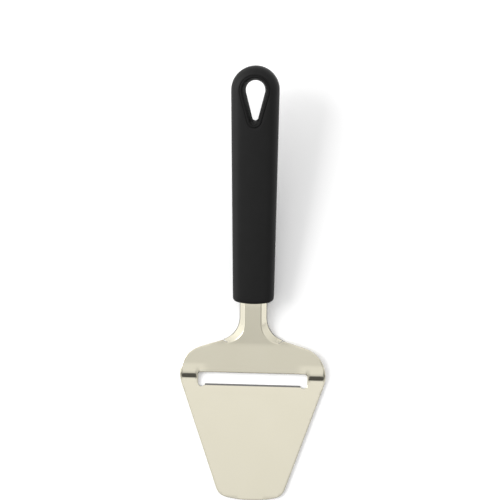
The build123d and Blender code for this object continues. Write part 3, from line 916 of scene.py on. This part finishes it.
def ring_tree(material):
    """A node group that sweeps the ring's wall along its outline. The outline's points carry the way across
    the wall at the faces and at mid-thickness, and how high the ring reaches."""
    tree = bpy.data.node_groups.new("eye_ring", "GeometryNodeTree")
    tree.interface.new_socket("Outline", in_out="INPUT", socket_type="NodeSocketGeometry")
    for name in ("Wall", "Nominal height", "Rim radius"):
        tree.interface.new_socket(name, in_out="INPUT", socket_type="NodeSocketFloat")
    tree.interface.new_socket("Ring", in_out="OUTPUT", socket_type="NodeSocketGeometry")
    group = add_node(tree, "NodeGroupInput").outputs
    wall, nominal = group["Wall"], group["Nominal height"]
    path = add_node(tree, "GeometryNodeMeshToCurve", Mesh=group["Outline"])

    # Profile of the wall: a rectangle with its corners rounded, and points at mid-thickness
    tall = add_node(tree, "ShaderNodeMath", {"operation": "MULTIPLY"}, i0=nominal, i1=2.0)
    section = add_node(tree, "GeometryNodeCurvePrimitiveQuadrilateral", Width=wall, Height=tall)
    halved = add_node(tree, "GeometryNodeSubdivideCurve", Curve=section)
    named = add_node(
        tree, "GeometryNodeFilletCurve", {"mode": "POLY"}, Curve=halved,
        Radius=group["Rim radius"], Limit_Radius=True, Count=6,
    )
    here = add_node(tree, "GeometryNodeInputPosition")
    spot = add_node(tree, "ShaderNodeSeparateXYZ", Vector=here)
    for name, axis in (("across", "X"), ("up", "Y")):
        named = add_node(
            tree, "GeometryNodeStoreNamedAttribute", {"data_type": "FLOAT", "domain": "POINT"},
            Geometry=named, Name=name, Value=spot.outputs[axis],
        )
    doubled = add_node(tree, "GeometryNodeCurveToMesh", Curve=path, Profile_Curve=named)
    swept = add_node(tree, "GeometryNodeMergeByDistance", Geometry=doubled, Distance=0.001 * MM)

    def read(name, kind="FLOAT"):
        return add_node(tree, "GeometryNodeInputNamedAttribute", {"data_type": kind}, Name=name)

    # Share across the wall from its outside, and share of the height from mid-thickness
    half_wall = add_node(tree, "ShaderNodeMath", {"operation": "MULTIPLY"}, i0=wall, i1=0.5)
    moved = add_node(tree, "ShaderNodeMath", {"operation": "ADD"}, i0=read("across"), i1=half_wall)
    share = add_node(tree, "ShaderNodeMath", {"operation": "DIVIDE"}, i0=moved, i1=wall)
    size = add_node(tree, "ShaderNodeMath", {"operation": "ABSOLUTE"}, i0=read("up"))
    to_face = add_node(tree, "ShaderNodeMath", {"operation": "DIVIDE"}, i0=size, i1=nominal)
    way = add_node(
        tree, "ShaderNodeMix", {"data_type": "VECTOR"}, Factor=to_face,
        i4=read("way_at_middle", "FLOAT_VECTOR"), i5=read("way_at_face", "FLOAT_VECTOR"),
    )
    inward = add_node(tree, "ShaderNodeVectorMath", {"operation": "SCALE"}, i0=way.outputs[1], Scale=share)
    flat = add_node(
        tree, "ShaderNodeVectorMath", {"operation": "ADD"}, i0=read("outside", "FLOAT_VECTOR"), i1=inward
    )
    # The rim follows the crown of the handle's face: the wall above or below mid-thickness is moved whole
    gain = add_node(tree, "ShaderNodeMath", {"operation": "SUBTRACT"}, i0=read("reach"), i1=nominal)
    way_up = add_node(tree, "ShaderNodeMath", {"operation": "SIGN"}, i0=read("up"))
    lift = add_node(tree, "ShaderNodeMath", {"operation": "MULTIPLY"}, i0=gain, i1=way_up)
    height = add_node(tree, "ShaderNodeMath", {"operation": "ADD"}, i0=lift, i1=read("up"))
    raised = add_node(tree, "ShaderNodeCombineXYZ", Z=height)
    place = add_node(tree, "ShaderNodeVectorMath", {"operation": "ADD"}, i0=flat, i1=raised)
    placed = add_node(tree, "GeometryNodeSetPosition", Geometry=swept, Position=place)
    finished = add_node(tree, "GeometryNodeSetMaterial", Geometry=placed, Material=material)
    whole = add_node(tree, "GeometryNodeRealizeInstances", Geometry=finished)
    add_node(tree, "NodeGroupOutput", Ring=whole)
    return tree


def make_ring(material):
    """The raised ring that lines the hanging eye, which belongs to the core."""
    outside = ring_outline(0)
    ways = {
        "way_at_face": ring_outline(-RING_WALL),
        "way_at_middle": drop_outline(EYE_WIDE, EYE_NARROW, EYE_DISTANCE),
    }
    vectors = {"outside": [(x * MM, y * MM, 0) for x, y in outside]}
    for name, inside in ways.items():
        vectors[name] = [((b[0] - a[0]) * MM, (b[1] - a[1]) * MM, 0) for a, b in zip(outside, inside)]
    count = len(outside)
    mesh = bpy.data.meshes.new("eye_ring_outline")
    mesh.from_pydata(vectors["outside"], [(k, (k + 1) % count) for k in range(count)], [])
    for name, values in vectors.items():
        data = mesh.attributes.new(name, "FLOAT_VECTOR", "POINT").data
        data.foreach_set("vector", [part for value in values for part in value])
    reach = [(face_height(x, at, draw_in(at)) + RING_STAND) * MM for x, at in outside]
    mesh.attributes.new("reach", "FLOAT", "POINT").data.foreach_set("value", reach)
    source = bpy.data.objects.new("eye_ring_outline", mesh)
    bpy.context.collection.objects.link(source)
    modifier = source.modifiers.new("ring", "NODES")
    modifier.node_group = ring_tree(material)
    sizes = {
        "Wall": RING_WALL * MM,
        "Nominal height": (HALF_THICK + RING_STAND) * MM,
        "Rim radius": RIM_ROUND * MM,
    }
    for item in modifier.node_group.interface.items_tree:
        if item.name in sizes:
            modifier[item.identifier] = sizes[item.name]
    bpy.context.view_layer.update()
    seen = source.evaluated_get(bpy.context.evaluated_depsgraph_get())
    ready = bpy.data.meshes.new_from_object(seen)
    bpy.data.objects.remove(source)
    ready.transform(handle_place(MM))
    finish_piece("eye_ring", ready, "handle_core", 40)


steel_finishes = (cold_rolled_stainless_sheet, ground_stainless_bevel, blanked_edge_and_painted_shade)
black_hard = new_material(moulded_black_polypropylene)
make_blade([new_material(finish) for finish in steel_finishes])
make_skin(new_material(moulded_soft_touch_elastomer))
make_core(black_hard)
make_ring(black_hard)

# Floor, light and camera, with sizes in metres

FLOOR_SIDE = 8
bpy.ops.mesh.primitive_plane_add(size=FLOOR_SIDE)
floor = bpy.context.object
floor.name = "floor"
floor.data.materials.append(new_material(white_acrylic_light_table))

# A soft box on the left looks at the slicer
SOFT_BOX_PLACE, SOFT_BOX_SIDE, SOFT_BOX_WATTS = (-1.6, 0.3, 1.3), 1.2, 23
soft_box = bpy.data.lights.new("left_soft_box", "AREA")
soft_box.size = SOFT_BOX_SIDE
soft_box.energy = SOFT_BOX_WATTS
stand = bpy.data.objects.new("left_soft_box", soft_box)
bpy.context.collection.objects.link(stand)
stand.location = SOFT_BOX_PLACE
stand.rotation_euler = (-Vector(SOFT_BOX_PLACE)).to_track_quat("-Z", "Y").to_euler()

# A studio with a wide pale ceiling, brightest low on the left. Towards the tip its right side is darker, and
# a black flag stands in front of the tip. Each ramp gives a brightness, up to RAMP_TOP, over one part of the
# direction, from -1 to 1. SIDES is the plain ceiling from left to right, NEAR is the ceiling towards the
# tip, and TURN says where one takes over from the other. AHEAD is the flag and the ceiling behind it, FLAG
# says how far sideways they reach, and BESIDE is the brightness of the ceiling beside them.
RAMP_TOP = 1.5
SIDES = ((-1, 1.5), (-0.5, 1.3), (-0.2, 1), (0.1, 0.99), (0.5, 0.95), (1, 1.1))
NEAR = (
    (-1, 1.5), (-0.8, 1.4), (-0.65, 1.2), (-0.55, 0.35), (-0.4, 0.35), (-0.28, 1), (0.1, 0.99), (0.3, 0.6),
    (0.5, 0.2), (0.7, 0.4), (0.88, 0.85), (1, 0.9),
)
TURN = ((-1, 1), (-0.2, 1), (0, 0), (1, 0))
AHEAD = (
    (-1, 0.08), (-0.68, 0.1), (-0.62, 0.25), (-0.56, 0.66), (-0.48, 0.76), (-0.35, 0.8), (-0.22, 0.93),
    (-0.1, 1), (0.2, 1), (1, 0.75),
)
FLAG = ((-1, 0), (-0.5, 0), (-0.32, 1), (0.32, 1), (0.5, 0), (1, 0))
BESIDE = 0.85
UP = ((-1, 1), (0, 0.95), (0.3, 1), (1, 1))
SKY_STRENGTH = 1.16


def make_studio():
    """The world round the slicer."""
    world = bpy.data.worlds.new("studio")
    world.use_nodes = True
    tree = world.node_tree
    tree.nodes.clear()
    direction = add_node(tree, "ShaderNodeTexCoord").outputs["Generated"]
    parts = add_node(tree, "ShaderNodeSeparateXYZ", Vector=direction)

    def by_direction(axis, stops):
        """The brightness of a ramp over one part of the direction."""
        share = add_node(tree, "ShaderNodeMapRange", Value=parts.outputs[axis], i1=-1.0, i2=1.0)
        ramp = add_node(tree, "ShaderNodeValToRGB", Fac=share)
        points = ramp.color_ramp.elements
        for k, (at, value) in enumerate(stops):
            point = points[k] if k < 2 else points.new(1)
            point.position = (at + 1) / 2
            point.color = (value / RAMP_TOP, value / RAMP_TOP, value / RAMP_TOP, 1)
        return add_node(tree, "ShaderNodeMath", {"operation": "MULTIPLY"}, i0=ramp, i1=RAMP_TOP)

    ahead = add_node(
        tree, "ShaderNodeMix", {"data_type": "FLOAT"}, Factor=by_direction("X", FLAG), i2=BESIDE,
        i3=by_direction("Y", AHEAD),
    )
    level = add_node(
        tree, "ShaderNodeMix", {"data_type": "FLOAT"}, Factor=by_direction("Y", TURN),
        i2=by_direction("X", SIDES), i3=by_direction("X", NEAR),
    )
    for factor in (by_direction("Z", UP), ahead, SKY_STRENGTH):
        level = add_node(tree, "ShaderNodeMath", {"operation": "MULTIPLY"}, i0=level, i1=factor)
    sky = add_node(tree, "ShaderNodeBackground", Color=linear("#FFFFFF"), Strength=level)
    add_node(tree, "ShaderNodeOutputWorld", Surface=sky)
    bpy.context.scene.world = world


make_studio()
bpy.context.scene.view_settings.view_transform = "Standard"

# The camera looks down on the slicer, leaning and turned a little as in the photograph
CAMERA_DISTANCE, LENS, SENSOR = 0.6, 83.7, 36
CAMERA_LEAN, CAMERA_TURN = radians(3.3), radians(1.15)
AIM = Vector((-2.7, 18.7, 0)) * MM
camera_data = bpy.data.cameras.new("camera")
camera_data.sensor_width = SENSOR
camera_data.lens = LENS
camera = bpy.data.objects.new("camera", camera_data)
bpy.context.collection.objects.link(camera)
turned = Matrix.Rotation(CAMERA_LEAN, 4, "Y") @ Matrix.Rotation(CAMERA_TURN, 4, "Z")
camera.matrix_world = Matrix.Translation(AIM + turned.col[2].xyz * CAMERA_DISTANCE) @ turned
bpy.context.scene.camera = camera

bpy.context.view_layer.update()
